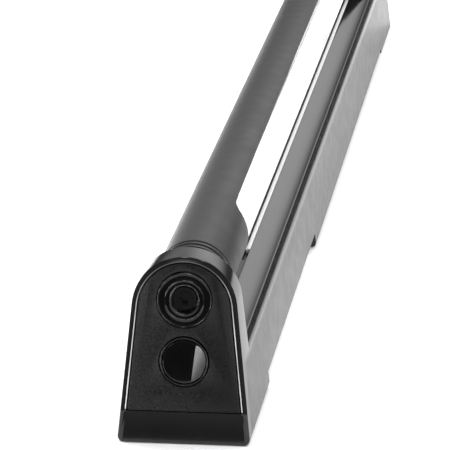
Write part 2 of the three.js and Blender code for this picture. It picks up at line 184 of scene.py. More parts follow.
class Paint:
    """A Principled material built up from object-space noise, so that it needs no images."""

    def __init__(self, name, **values):
        self.material = bpy.data.materials.new(name)
        self.material.use_nodes = True
        self.tree = self.material.node_tree
        self.shader = self.tree.nodes["Principled BSDF"]
        self.coords = self.tree.nodes.new("ShaderNodeTexCoord").outputs["Object"]
        self.height = None
        for key, value in values.items():
            self.shader.inputs[key.replace("_", " ")].default_value = value

    def link(self, source, target):
        self.tree.links.new(source, target)

    def noise(self, scale, detail=3.0, stretch=(1, 1, 1), roughness=0.55):
        mapping = self.tree.nodes.new("ShaderNodeMapping")
        mapping.inputs["Scale"].default_value = stretch
        texture = self.tree.nodes.new("ShaderNodeTexNoise")
        texture.inputs["Scale"].default_value = scale
        texture.inputs["Detail"].default_value = detail
        texture.inputs["Roughness"].default_value = roughness
        self.link(self.coords, mapping.inputs["Vector"])
        self.link(mapping.outputs["Vector"], texture.inputs["Vector"])
        return texture.outputs["Fac"]

    def remap(self, value, low, high, start=0.3, end=0.7):
        node = self.tree.nodes.new("ShaderNodeMapRange")
        node.inputs["From Min"].default_value = start
        node.inputs["From Max"].default_value = end
        node.inputs["To Min"].default_value = low
        node.inputs["To Max"].default_value = high
        self.link(value, node.inputs["Value"])
        return node.outputs["Result"]

    def math(self, operation, a, b):
        return math_node(self.tree, operation, a, b)

    def along(self, direction):
        """Object coordinate along a direction."""
        node = self.tree.nodes.new("ShaderNodeVectorMath")
        node.operation = "DOT_PRODUCT"
        node.inputs[1].default_value = direction
        self.link(self.coords, node.inputs[0])
        return node.outputs["Value"]

    def rough(self, value):
        self.link(value, self.shader.inputs["Roughness"])

    def tint(self, share, dark, light):
        ramp = self.tree.nodes.new("ShaderNodeValToRGB")
        ramp.color_ramp.elements[0].color = (*dark, 1)
        ramp.color_ramp.elements[1].color = (*light, 1)
        self.link(share, ramp.inputs["Fac"])
        self.colour = ramp.outputs["Color"]
        self.link(self.colour, self.shader.inputs["Base Color"])

    def bump(self, value, depth, strength=1.0):
        node = self.tree.nodes.new("ShaderNodeBump")
        node.inputs["Strength"].default_value = strength
        node.inputs["Distance"].default_value = depth
        self.link(value, node.inputs["Height"])
        if self.height is not None:
            self.link(self.height, node.inputs["Normal"])
        self.height = node.outputs["Normal"]
        self.link(self.height, self.shader.inputs["Normal"])

    def edge_wear(self, width, colour, amount=0.5):
        """Rubs the colour through on sharp edges, where the rounded normal leaves the real one."""
        bevel = self.tree.nodes.new("ShaderNodeBevel")
        bevel.samples = 4
        bevel.inputs["Radius"].default_value = width
        geometry = self.tree.nodes.new("ShaderNodeNewGeometry")
        dot = self.tree.nodes.new("ShaderNodeVectorMath")
        dot.operation = "DOT_PRODUCT"
        self.link(bevel.outputs["Normal"], dot.inputs[0])
        self.link(geometry.outputs["Normal"], dot.inputs[1])
        edge = self.remap(dot.outputs["Value"], 1, 0, 0.80, 0.97)
        patchy = self.remap(self.noise(420, 4), 0, 1, 0.45, 0.62)
        worn = self.math("MULTIPLY", self.math("MULTIPLY", edge, patchy), amount)
        mix = self.tree.nodes.new("ShaderNodeMix")
        mix.data_type = "RGBA"
        mix.inputs[7].default_value = (*colour, 1)
        self.link(worn, mix.inputs[0])
        self.link(self.colour, mix.inputs[6])
        self.link(mix.outputs[2], self.shader.inputs["Base Color"])


def satin_black():
    """Satin sides, smoother on top and on the near face, with dull sides and a polished crown to its rim."""
    paint = Paint("satin_black_coat", Metallic=0.0, IOR=1.43)
    paint.tint(paint.noise(60, 4), (0.006, 0.006, 0.0062), (0.011, 0.011, 0.0114))
    satin = paint.remap(paint.noise(240, 4), 0.27, 0.33)
    behind_face = paint.along((0, 1, -math.tan(SLANT)))
    height = paint.along((0, 0, 1))

    def fade(source, low, high, start, end):
        return paint.remap(source, low, high, start * MM, end * MM)

    top = fade(height, 1.0, 0.38, RAIL_SHOULDER - 0.9, RAIL_SHOULDER + 1.1)
    face = fade(behind_face, 0.35, 1.0, NEAR + 0.8, NEAR + 5)
    above_crown = CROWN_START, CROWN_START + 0.8
    crown = paint.math("MULTIPLY", fade(behind_face, 1, 0, NEAR + RIM_R, NEAR + RIM_R + 0.2),
                       fade(height, 0, 1, *above_crown))
    share = paint.math("SUBTRACT", paint.math("MINIMUM", top, face), paint.math("MULTIPLY", crown, 0.25))
    paint.rough(paint.math("MULTIPLY", satin, share))
    rim = paint.math("MULTIPLY", fade(behind_face, 1, 0, NEAR + RIM_R - 0.08, NEAR + RIM_R),
                     fade(height, 0, 1, PLATE_SILL - 0.2, PLATE_SILL + 0.2))
    rim = paint.math("MULTIPLY", rim, fade(height, 1, 0, *above_crown))
    paint.link(paint.remap(rim, 0.5, 0.04, 0, 1), paint.shader.inputs["Specular IOR Level"])
    paint.bump(paint.noise(2600, 2), 0.005 * MM, 0.5)
    paint.edge_wear(0.2 * MM, (0.16, 0.16, 0.165), 0.25)
    return paint.material


def painted_edge_highlight():
    """Painted highlight along the inner edge of the rim: a light grey colour, bright at the sides and dull over
    the top, that stands in for the edge catching the light.
    """
    paint = Paint("painted_edge_highlight", Metallic=0.0, IOR=1.45)
    # Painted highlight: strongest low on the sides and fading over the top, with noise varying its strength.
    share = paint.remap(paint.along((0, 0, 1)), 1, 0.12, 26 * MM, 40 * MM)
    patchy = paint.remap(paint.noise(90, 3), 0.55, 1, 0.35, 0.65)
    paint.tint(paint.math("MULTIPLY", share, patchy), (0.01, 0.01, 0.01), (0.62, 0.62, 0.63))
    paint.rough(paint.remap(paint.noise(500, 3), 0.25, 0.4))
    paint.bump(paint.noise(1800, 2), 0.004 * MM, 0.4)
    return paint.material


def matt_black():
    paint = Paint("fine_matt_coat", Metallic=0.0, IOR=1.38)
    paint.tint(paint.noise(45, 4), (0.011, 0.011, 0.0114), (0.018, 0.018, 0.0185))
    paint.rough(paint.remap(paint.noise(160, 4), 0.42, 0.50))
    paint.bump(paint.noise(3600, 2), 0.010 * MM, 0.6)
    paint.edge_wear(0.2 * MM, (0.2, 0.2, 0.205), 0.35)
    return paint.material


def textured_plate():
    paint = Paint("textured_plate", Metallic=0.0, IOR=1.24)
    grain = paint.remap(paint.noise(3200, 3, roughness=0.7), 0, 1, 0.36, 0.66)
    # The plate's colour darkens towards its right side over the first 11 mm: painted shade.
    paint.tint(paint.math("MULTIPLY", grain, paint.remap(paint.along((1, 0, 0)), 1, 0.3, 0, 11 * MM)),
               (0.0, 0.0, 0.0), (0.017, 0.017, 0.017))
    paint.rough(paint.remap(paint.noise(900, 3), 0.26, 0.42))
    paint.bump(paint.noise(2600, 4, roughness=0.7), 0.05 * MM, 0.9)
    return paint.material


def gloss_black():
    paint = Paint("gloss_black", Metallic=0.0, IOR=1.36)
    paint.tint(paint.noise(120, 3), (0.002, 0.002, 0.002), (0.004, 0.004, 0.004))
    paint.rough(paint.remap(paint.noise(300, 5), 0.04, 0.08))
    paint.bump(paint.noise(500, 2), 0.002 * MM, 0.3)
    paint.edge_wear(0.12 * MM, (0.42, 0.42, 0.43), 0.9)
    return paint.material


def recess_black():
    """The dull black of a face that lies deep in its cup."""
    paint = Paint("recess_black", Metallic=0.0, IOR=1.12)
    paint.tint(paint.noise(300, 3), (0.002, 0.002, 0.002), (0.006, 0.006, 0.006))
    paint.rough(paint.remap(paint.noise(900, 4), 0.15, 0.3))
    paint.bump(paint.noise(1800, 3), 0.01 * MM, 0.5)
    return paint.material


def steel(name, dark, light, low, high, stretch=(1, 1, 1)):
    paint = Paint(name, Metallic=1.0)
    paint.tint(paint.noise(500, 4, stretch), dark, light)
    paint.rough(paint.remap(paint.noise(900, 4, stretch), low, high))
    paint.bump(paint.noise(2400, 3, stretch), 0.004 * MM, 0.5)
    return paint.material


def bronze():
    paint = Paint("sintered_bronze", Metallic=1.0)
    paint.tint(paint.noise(1500, 4), (0.32, 0.20, 0.09), (0.52, 0.35, 0.17))
    paint.rough(paint.remap(paint.noise(2000, 3), 0.35, 0.55))
    paint.bump(paint.noise(3000, 3), 0.01 * MM, 0.5)
    return paint.material


def rubber():
    paint = Paint("black_rubber", Metallic=0.0, IOR=1.45)
    paint.tint(paint.noise(200, 5), (0.018, 0.018, 0.018), (0.034, 0.034, 0.034))
    paint.rough(paint.remap(paint.noise(500, 4), 0.68, 0.85))
    paint.bump(paint.noise(1600, 3), 0.02 * MM, 0.6)
    return paint.material


def pale_strip_highlight():
    # A pale strip whose near-white colour stands in for the highlight along the rail's rim: painted highlight.
    paint = Paint("pale_strip_highlight", Metallic=0.0, IOR=1.5)
    paint.tint(paint.noise(300, 4), (0.80, 0.80, 0.79), (0.89, 0.89, 0.88))
    paint.rough(paint.remap(paint.noise(800, 3), 0.35, 0.5))
    paint.bump(paint.noise(1800, 3), 0.01 * MM, 0.5)
    return paint.material


MATERIALS = {
    "casting": satin_black(),
    "tube": matt_black(),
    "end_plate": textured_plate(),
    "gloss": gloss_black(),
    "recess": recess_black(),
    "rings": steel("blackened_steel", (0.02, 0.02, 0.02), (0.05, 0.05, 0.05), 0.3, 0.45, (1, 6, 1)),
    "steel": steel("ground_steel", (0.42, 0.42, 0.43), (0.62, 0.62, 0.63), 0.2, 0.34, (6, 0.4, 6)),
    "dark_steel": steel("black_oxide_steel", (0.07, 0.07, 0.075), (0.14, 0.14, 0.145), 0.3, 0.46),
    "bronze": bronze(),
    "rubber": rubber(),
    # The strip's pale colour and the rim edge's light grey colour below are painted highlights.
    "strip": pale_strip_highlight(),
    "painted_edge_highlight": painted_edge_highlight(),
}
SLOT_OF = {part["node"]: part["material_slot"] for part in frame["record"]["subparts"]}


def dress(obj, slot):
    obj.data.materials.clear()
    obj.data.materials.append(MATERIALS[slot])


for node_name, node in frame["nodes"].items():
    dress(node, SLOT_OF[node_name])


# ------------------------------------------------------------------ mesh helpers
ON_FACE = Matrix.Identity(4)
ON_AXIS = Matrix.Translation((0, 0, AXIS_Z))
ON_BUTTON = Matrix.Translation((0, face_y(BUTTON_Z), BUTTON_Z)) @ Matrix.Rotation(-FACE_TILT, 4, "X")
ON_ROLLER = Matrix.Translation((-LEVER_REACH, 0, AXIS_Z))


def mesh_object(name, verts, faces, place=ON_FACE):
    """Makes an object from points in millimetres from the near lower edge."""
    to_frame = Matrix.Scale(MM, 4) @ Matrix.Translation((0, NEAR, 0)) @ place
    mesh = bpy.data.meshes.new(name)
    mesh.from_pydata([tuple(to_frame @ Vector(v)) for v in verts], [], faces)
    obj = bpy.data.objects.new(name, mesh)
    bpy.context.scene.collection.objects.link(obj)
    bm = bmesh.new()
    bm.from_mesh(mesh)
    bmesh.ops.remove_doubles(bm, verts=bm.verts, dist=1e-7)
    bmesh.ops.recalc_face_normals(bm, faces=bm.faces)
    bm.to_mesh(mesh)
    bm.free()
    return obj


def loft(name, rings, closed=False, place=ON_FACE):
    """Skins a row of rings with the same number of points. Open lofts get flat end caps."""
    count = len(rings[0])
    verts = [point for ring in rings for point in ring]
    faces = []
    steps = len(rings) if closed else len(rings) - 1
    for i in range(steps):
        here = i * count
        there = ((i + 1) % len(rings)) * count
        for k in range(count):
            after = (k + 1) % count
            faces.append((here + k, here + after, there + after, there + k))
    if not closed:
        faces.append(tuple(range(count)))
        faces.append(tuple(range(len(verts) - count, len(verts))))
    return mesh_object(name, verts, faces, place)


def lathe(name, outline, place=ON_AXIS, sides=96):
    """Turns [radius, y] points about local Y: a full body from axis to axis, or else a closed ring."""
    turns = [2 * math.pi * k / sides for k in range(sides)]
    rings = [[(r * math.cos(t), y, r * math.sin(t)) for t in turns] for r, y in outline]
    ring_like = all(radius > 1e-6 for radius, _ in outline)
    return loft(name, rings, ring_like, place)


def rounded(corners, radius, steps=4):
    """Rounds the corners of a closed outline."""
    points = []
    count = len(corners)
    for i in range(count):
        here = Vector(corners[i])
        before = Vector(corners[i - 1]) - here
        after = Vector(corners[(i + 1) % count]) - here
        reach = min(radius, before.length * 0.45, after.length * 0.45)
        start = here + before.normalized() * reach
        end = here + after.normalized() * reach
        for k in range(steps + 1):
            t = k / steps
            points.append(tuple(start * (1 - t) ** 2 + here * (2 * t * (1 - t)) + end * t ** 2))
    return points


def ring(name, inner, outer, y0, y1, place=ON_AXIS, edge=0.2, sides=96):
    corners = [(inner, y0), (outer, y0), (outer, y1), (inner, y1)]
    return lathe(name, rounded(corners, edge, 3), place, sides)


def cylinder(name, r, y0, y1, place=ON_AXIS, sides=96):
    return lathe(name, [(0, y0), (r, y0), (r, y1), (0, y1)], place, sides)


def prism(name, outline, y0, y1, place=ON_FACE):
    """An outline of (x, z) points carried along Y."""
    return loft(name, [[(x, y, z) for x, z in outline] for y in (y0, y1)], place=place)


def upright(x, y, z=0.0):
    """A place whose local Y points up."""
    return Matrix.Translation((x, y, z)) @ Matrix.Rotation(math.pi / 2, 4, "X")


def hexagon(name, r, y0, y1, place=ON_AXIS):
    return cylinder(name, r, y0, y1, place, sides=6)


def use(obj, modifier):
    """Applies one modifier."""
    graph = bpy.context.evaluated_depsgraph_get()
    graph.update()
    mesh = bpy.data.meshes.new_from_object(obj.evaluated_get(graph))
    obj.modifiers.remove(modifier)
    old = obj.data
    obj.data = mesh
    bpy.data.meshes.remove(old)


def combine(obj, other, operation):
    modifier = obj.modifiers.new("combine", "BOOLEAN")
    modifier.operation = operation
    modifier.solver = "EXACT"
    modifier.object = other
    use(obj, modifier)
    bpy.data.objects.remove(other)
    return obj


def join(obj, *others):
    for other in others:
        combine(obj, other, "UNION")
    return obj


def cut(obj, *others):
    for other in others:
        combine(obj, other, "DIFFERENCE")
    return obj


def bevel(obj, width, segments=3, angle=40):
    modifier = obj.modifiers.new("bevel", "BEVEL")
    modifier.width = width * MM
    modifier.segments = segments
    modifier.limit_method = "ANGLE"
    modifier.angle_limit = math.radians(angle)
    use(obj, modifier)
    return obj


def smooth(obj, angle):
    """Smooth shading that keeps edges sharper than the angle."""
    bm = bmesh.new()
    bm.from_mesh(obj.data)
    for face in bm.faces:
        face.smooth = True
    for edge in bm.edges:
        edge.smooth = len(edge.link_faces) == 2 and edge.calc_face_angle(0) < math.radians(angle)
    bm.to_mesh(obj.data)
    bm.free()


def finish_piece(obj, body, slot, *nodes, angle=32):
    smooth(obj, angle)
    dress(obj, slot)
    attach(obj, body)
    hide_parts(*nodes)
    return obj


# ------------------------------------------------------------------ casting
def housing_outline(inset=0.0, bottom=0.0, arc_steps=60):
    """The near housing: leaning sides, a round top and small lower corners, inset by a margin."""
    foot = side_x(bottom) - inset / math.cos(TAPER)
    corner = max(CORNER_R - inset * 0.8, 0.35)
    centre_x = foot - corner * (1 + math.sin(TAPER)) / math.cos(TAPER)
    points = []
    for k in range(CORNER_STEPS + 1):
        turn = -math.pi / 2 + (math.pi / 2 + TAPER) * k / CORNER_STEPS
        points.append((centre_x + corner * math.cos(turn), bottom + corner + corner * math.sin(turn)))
    for k in range(arc_steps + 1):
        turn = TAPER + (math.pi - 2 * TAPER) * k / arc_steps
        points.append(((ARCH_R - inset) * math.cos(turn), ARCH_Z + (ARCH_R - inset) * math.sin(turn)))
    points += [(-x, z) for x, z in reversed(points[:CORNER_STEPS + 1])]
    return points


def bracket_outline(inset=0.0, bottom=0.0, arc_steps=80):
    """The far housing: its round top is carried down to a flat underside beside one slim leg."""
    radius = ARCH_R - inset
    underside = BRACKET_BOTTOM + inset
    arc_end = math.pi + math.asin((ARCH_Z - underside) / radius)
    points = [(RAIL_LEFT + inset, bottom), (side_x(bottom) - inset / math.cos(TAPER), bottom)]
    for k in range(arc_steps + 1):
        turn = TAPER + (arc_end - TAPER) * k / arc_steps
        points.append((radius * math.cos(turn), ARCH_Z + radius * math.sin(turn)))
    points.append((RAIL_LEFT + inset, underside))
    return points


def rim(steps=8):
    """Inset and depth of the rounded rim, from the outside of the housing to its face."""
    turns = [math.pi / 2 * k / steps for k in range(steps + 1)]
    return [(RIM_R * (1 - math.cos(t)), RIM_R * (1 - math.sin(t))) for t in turns]


def face_bead():
    """A hairline bead between the rim and the end plate, up one side, over the top and down the other, coloured
    with a painted highlight.
    """
    inner, outer = PLATE_INSET - 0.02, PLATE_INSET - RIM_CHAMFER + 0.06
    rings = []
    inside, outside = (housing_outline(inset, PLATE_SILL)[CORNER_STEPS:-CORNER_STEPS]
                       for inset in (inner, outer))
    for (x0, z0), (x1, z1) in zip(inside, outside):
        middle = ((x0 + x1) / 2, (z0 + z1) / 2)
        profile = [(x0, z0, 0.2), (x0, z0, 0.06), (*middle, -0.03), (x1, z1, 0.02), (x1, z1, 0.2)]
        rings.append([(x, face_y(z) + depth, z) for x, z, depth in profile])
    bead = loft("face_bead", rings)
    smooth(bead, 60)
    # Its light grey colour is a painted highlight along the rim's inner edge.
    dress(bead, "painted_edge_highlight")
    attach(bead, "root")


def near_block():
    """The near housing: flat back, round rim round a slanted face, and a pocket for the plate."""
    rings = [[(x, NEAR_DEPTH, z) for x, z in housing_outline()]]
    for inset, depth in rim():
        rings.append([(x, face_y(z) + depth, z) for x, z in housing_outline(inset)])
    for share, depth in ((0.0, 0.0), (0.06, 0.008), (0.94, 0.09), (1.0, 0.13)):
        back = RIM_CHAMFER * (1 - share)
        outline = housing_outline(PLATE_INSET - back, PLATE_SILL - back)
        rings.append([(x, face_y(z) + depth, z) for x, z in outline])
    rings.append([(x, face_y(z) + POCKET, z) for x, z in housing_outline(PLATE_INSET, PLATE_SILL)])
    return loft("frame_casting", rings)


def far_block():
    rings = [[(x, FAR_START, z) for x, z in bracket_outline()]]
    for inset, depth in rim():
        rings.append([(x, LENGTH - depth, z) for x, z in bracket_outline(inset)])
    for depth in (0.0, POCKET):
        rings.append([(x, LENGTH - depth, z) for x, z in bracket_outline(PLATE_INSET, PLATE_SILL)])
    return loft("far_block", rings)


# The rail's top from the strip's groove to its leaning side, with a fine ledge along its shoulder.
RAIL_TOP = [(6.75, 23.55), (6.85, 23.66), (7.05, 23.62), (7.6, 23.43), (8.2, 23.22), (9.0, 22.92),
            (9.9, 22.56), (10.4, 22.33), (10.9, 22.08), (11.3, 21.84), (11.6, 21.64), (11.9, 21.42),
            (12.17, 21.2), (12.42, 20.97), (12.52, 20.9), (12.66, 20.84), (12.76, 20.76), (12.9, 20.58),
            (13.24, 20.14), (13.5, 19.8), (13.74, 19.47), (13.88, 19.24), (13.97, 19.05), (14.02, 18.88),
            (14.058, 18.7)]


def rail_outline():
    """Leaning right side, a shoulder, a top that falls to the right, and the strip's groove."""
    points = [(RAIL_LEFT + 0.4, RELIEF_Z), (side_x(RELIEF_Z) - 0.4, RELIEF_Z),
              (side_x(RELIEF_Z + 0.4), RELIEF_Z + 0.4), (side_x(RAIL_SHOULDER), RAIL_SHOULDER)]
    points += RAIL_TOP[::-1]
    points += [(GROOVE_RIGHT, GROOVE_FLOOR), (GROOVE_LEFT, GROOVE_FLOOR), (GROOVE_LEFT, RAIL_RIM),
               (RAIL_LEFT + 0.1, RAIL_RIM), (RAIL_LEFT, RAIL_RIM - 0.1), (RAIL_LEFT, RELIEF_Z + 0.4)]
    return points


def foot(name, y0, y1):
    """A foot under the rail, with the housings' rounded lower corner on its right."""
    top = RELIEF_Z + 1.0
    outline = [(RAIL_LEFT, 0.3), (RAIL_LEFT + 0.3, 0)] + housing_outline()[:CORNER_STEPS + 1]
    outline += [(side_x(top), top), (RAIL_LEFT, top)]
    return prism(name, outline, y0, y1)


def frame_casting():
    casting = near_block()
    inside = 2.0  # how far the rail and the feet reach into the housings
    rail = prism("rail_part", rail_outline(), NEAR_DEPTH - inside, FAR_START + inside)
    join(rail, foot("near_foot", NEAR_DEPTH - inside, NEAR_FOOT_END),
         foot("far_foot", FAR_FOOT_START, FAR_START + inside))
    left, right = -HALF_WIDTH + 2, RAIL_LEFT + 1
    base = rounded([(left, 0), (right, 0), (right, RELIEF_Z), (left, RELIEF_Z)], 0.5)
    join(casting, prism("base_plate", base, NEAR_DEPTH - inside, NEAR_FOOT_END), rail, far_block())
    cut(casting, cylinder("near_bore", BORE_R, 3, 20),
        cylinder("far_bore", BORE_R, FAR_START - 5, LENGTH + 5))
    cut(casting, cylinder("button_bore", BUTTON_R + 0.85, -3, 4.4, ON_BUTTON))
    for y in MOUNT_HOLES:
        cut(casting, cylinder("mount_hole", MOUNT_HOLE_R, -1, MOUNT_HOLE_DEPTH, upright(MOUNT_HOLE_X, y), 40))
    finish_piece(casting, "root", "casting", "near_housing", "rail", "far_housing", angle=38)


frame_casting()
face_bead()


# ------------------------------------------------------------------ end plates and buffer strip
def near_plate():
    """The slanted sheet that fills the near face, with a rounded edge."""
    margin = PLATE_INSET + PLATE_GAP
    sill = PLATE_SILL + SILL_GAP
    edge = 0.25
    rings = []
    for inset, depth in ((0, 1.15), (0, 0.25 + edge), (edge * 0.3, 0.25 + edge * 0.3), (edge, 0.25)):
        rings.append([(x, face_y(z) + depth, z) for x, z in housing_outline(margin + inset, sill + inset)])
    plate = loft("end_plate_piece", rings)
    cut(plate, cylinder("cup_hole", CUP_R + 0.2, -5, 30),
        cylinder("button_hole", BUTTON_R + 1.0, -5, 10, ON_BUTTON))
    finish_piece(bevel(plate, 0.12, 2, 50), "root", "end_plate", "near_end_plate")


def screw_place(x, z):
    return Matrix.Translation((x, LENGTH, z))


def far_plate():
    margin = PLATE_INSET + PLATE_GAP
    back = LENGTH - POCKET + PLATE_GAP
    rings = [[(x, back, z) for x, z in bracket_outline(margin, PLATE_SILL + PLATE_GAP)]]
    for inset, depth in ((0, 0.5), (0.09, 0.29), (0.3, 0.2)):
        outline = bracket_outline(margin + inset, PLATE_SILL + PLATE_GAP + inset)
        rings.append([(x, LENGTH - depth, z) for x, z in outline])
    plate = loft("far_plate_piece", rings)
    cut(plate, cylinder("spindle_hole", JOURNAL_R + 0.5, LENGTH - 9, LENGTH + 9))
    for x, z in FAR_PLATE_SCREWS:
        cut(plate, cylinder("screw_hole", 1.6, -9, 9, screw_place(x, z), 32))
    finish_piece(bevel(plate, 0.12, 2, 50), "root", "end_plate", "far_end_plate")


def far_plate_screws():
    for i, (x, z) in enumerate(FAR_PLATE_SCREWS):
        outline = [(0, -8), (0.9, -8), (1.15, -7.7), (1.15, 0.1), (1.7, 0.1), (1.8, 0.2), (1.8, 0.55),
                   (1.72, 0.7), (1.5, 0.84), (1.2, 0.9), (0, 0.9)]
        screw = lathe(f"plate_screw_{i + 1}", outline, screw_place(x, z), 48)
        cut(screw, hexagon("socket", 0.75, -0.1, 2, screw_place(x, z)))
        finish_piece(screw, "root", "dark_steel", f"far_plate_screw_{i + 1}")


def strip():
    left, right = span("buffer_strip", 0)[0], GROOVE_RIGHT
    (start, end), (low, high) = span("buffer_strip", 1), span("buffer_strip", 2)
    crown = [(left + (right - left) * k / 8, high - 0.12 * (k / 4 - 1) ** 2) for k in range(8, -1, -1)]
    body = prism("strip_piece", [(left, low), (right, low)] + crown, start + 5, end)
    # The strip's pale colour is a painted highlight along the rail's rim.
    finish_piece(body, "root", "strip", "buffer_strip", angle=50)


near_plate()
far_plate()
far_plate_screws()
strip()


# ------------------------------------------------------------------ turning tube and rings
# The upper edge of the tube's open side, round the near hub's cut and on along the open stretch: angle
# above +X in degrees, and distance from the near edge.
CUT_EDGE = [(-60, 55.3), (4, 55.3), (18, 55.5), (27, 55.8), (36, 56.3), (43.2, 56.9), (48, 57.9),
            (51.5, 59.0), (53.2, 60.4), (53.9, 65.6), (54.3, 74.8), (55.7, 104.4), (57.4, 152), (59.4, 205),
            (61.5, 264), (63, FAR_HUB_START)]
CUT_LOWER_EDGE = -123  # its lower edge, until the two edges are half a turn apart


def open_side(reach=14, steps=12):
    """The half of the tube that is cut away: a fan of points round the axis, skinned along Y."""
    rings = []
    for angle, y in CUT_EDGE:
        top = math.radians(angle)
        bottom = math.radians(max(angle - 180, CUT_LOWER_EDGE))
        turns = [bottom + (top - bottom) * k / steps for k in range(steps + 1)]
        rings.append([(reach * math.cos(t), y, reach * math.sin(t)) for t in turns] + [(0.0, y, 0.0)])
    return loft("open_side", rings, place=ON_AXIS)


def turning_tube():
    outline = [(0, 11.1), (4.9, 11.1), (JOURNAL_R, 11.4), (JOURNAL_R, HUB_START), (HUB_R - 0.3, HUB_START),
               (HUB_R - 0.08, HUB_START + 0.08), (HUB_R, HUB_START + 0.3), (HUB_R, HUB_END - 0.4),
               (HUB_R - 0.12, HUB_END - 0.12), (HUB_R - 0.4, HUB_END), (0, HUB_END)]
    tube = lathe("tube_piece", outline, sides=144)
    cut(tube, cylinder("inside", SHELL_R, SHELL_START, FAR_HUB_START), open_side())
    cut(tube, cylinder("chamber", 6.6, HUB_START + 3.4, 60), cylinder("bar_hole", 3.7, 5, 40, sides=48))
    cut(tube, cylinder("spindle_socket", JOURNAL_R + 0.3, FAR_HUB_START + 6, HUB_END + 2),
        cylinder("far_bar_hole", 2.3, FAR_HUB_START, HUB_END, sides=48))
    finish_piece(tube, "tube", "tube", "turning_tube", angle=34)


def rings_and_bar():
    for node, body in (("thrust_ring_1", "root"), ("thrust_ring_2", "root"), ("thrust_ring_3", "tube"),
                       ("far_thrust_ring", "root")):
        y0, y1 = span(node, 1)
        inner = 5.6 if node != "far_thrust_ring" else 5.5
        thin = 0.12 if y1 - y0 > 1 else 0.0
        piece = ring(node + "_piece", inner, HUB_R - 0.12, y0 + thin, y1 - thin, edge=0.2, sides=144)
        finish_piece(piece, body, "rings", node, angle=50)
    y0, y1 = span("torsion_bar", 1)
    outline = [(0, y0), (1.5, y0), (1.8, y0 + 0.3), (1.8, y1 - 0.3), (1.5, y1), (0, y1)]
    bar = lathe("torsion_bar_piece", outline, sides=64)
    finish_piece(bar, "tube", "steel", "torsion_bar")
    y0, y1 = span("damper_seal", 1)
    seal = ring("damper_seal_piece", 2.15, 6.3, y0, y1, edge=0.5)
    finish_piece(seal, "tube", "rubber", "damper_seal", angle=50)


turning_tube()
rings_and_bar()


# ------------------------------------------------------------------ adjuster and button
ON_CUP = Matrix.Translation((0, face_y(AXIS_Z), AXIS_Z)) @ Matrix.Rotation(-FACE_TILT, 4, "X")


def ridge(radius, depth, height=0.12, half=0.08):
    """Profile points of a fine raised circle, from its outer side to its inner side."""
    return [(radius + half, depth), (radius + half * 0.5, depth - height * 0.8), (radius, depth - height),
            (radius - half * 0.5, depth - height * 0.8), (radius - half, depth)]


def adjuster():
    """A flanged cup let into the face, and a screw with a hexagonal socket that turns inside it."""
    flange = [(3.0, 1.6), (6.1, 1.6), (6.1, 1.15), (CUP_R, 1.05), (CUP_R, 0.58)]
    circles = ridge(6.4, 0.55, 0.2, 0.12) + ridge(4.65, 0.55) + ridge(3.5, 0.55, 0.15, 0.1)
    cup = lathe("adjuster_cup_piece", flange + circles + [(3.0, 0.55)], ON_CUP, 128)
    cut(cup, cylinder("screw_room", CUP_HOLE_R, 0, 20))
    finish_piece(bevel(cup, 0.05, 2, 60), "root", "gloss", "adjuster_cup", angle=35)
    front = face_y(AXIS_Z) + 1.3
    face = [(0, 8.6), (2.9, 8.6), (3.0, 8.5), (3.0, front + 0.1)] + ridge(2.86, front) + ridge(1.75, front)
    face.append((0, front + 0.02))
    screw = lathe("adjuster_screw_piece", face)
    cut(screw, hexagon("socket", 1.35, 0, 8.2))
    finish_piece(bevel(screw, 0.06, 2, 60), "adjuster", "gloss", "adjuster_screw", angle=35)
    dress(screw, "recess")


def button():
    """A flat-topped button with a shallow facet for the thumb on its right."""
    outline = [(0, 5.4), (1.05, 5.4), (1.2, 5.2), (1.2, 1.7), (BUTTON_R - 0.15, 1.7), (BUTTON_R, 1.55),
               (BUTTON_R, 0.3), (BUTTON_R - 0.08, 0.14), (BUTTON_R - 0.25, 0.05), (4.4, 0.03), (0, 0.02)]
    body = lathe("button_piece", outline, ON_BUTTON, 128)
    slope = [(FACET_X + x, 0.02 + 0.26 * x + 0.01 * x * x) for x in (0, 0.5, 1, 1.5, 2, 2.5, 3, 4)]
    facet = [(FACET_X, -2)] + slope + [(FACET_X + 4, -2)]
    lean = Matrix.Rotation(FACET_LEAN, 4, "Y")
    waste = loft("facet_waste", [[(x, y, z) for x, y in facet] for z in (-7, 7)], place=ON_BUTTON @ lean)
    cut(body, waste)
    finish_piece(body, "button", "gloss", "release_button", angle=7)
    collar = ring("button_collar", BUTTON_R + 0.22, BUTTON_R + 0.68, 0.08, 4.1, ON_BUTTON, 0.2, 128)
    finish_piece(collar, "root", "gloss", "button_ring", angle=50)


def button_spring():
    """A coil behind the button, from SPRING_FRONT to SPRING_BACK behind the face."""
    turns, around, wire, mean = 3, 12, 0.28, 2.65
    steps = 24 * turns
    length = SPRING_BACK - SPRING_FRONT
    rings = []
    for i in range(steps + 1):
        turn = 2 * math.pi * turns * i / steps
        depth = SPRING_FRONT + wire + (length - 2 * wire) * i / steps
        section = []
        for k in range(around):
            angle = 2 * math.pi * k / around
            radius = mean + wire * math.cos(angle)
            section.append((radius * math.cos(turn), depth + wire * math.sin(angle), radius * math.sin(turn)))
        rings.append(section)
    coil = loft("button_coil", rings, place=ON_BUTTON)
    finish_piece(coil, "root", "steel", "button_spring", angle=60)
    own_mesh(coil)


adjuster()
button()
button_spring()


# ------------------------------------------------------------------ spindle, lever and roller
SPINDLE_START, SPINDLE_END = span("far_spindle", 1)
CLAMP_Y = (LEVER_START + LEVER_END) / 2
FLAT_Z = AXIS_Z + JOURNAL_R - 1.0


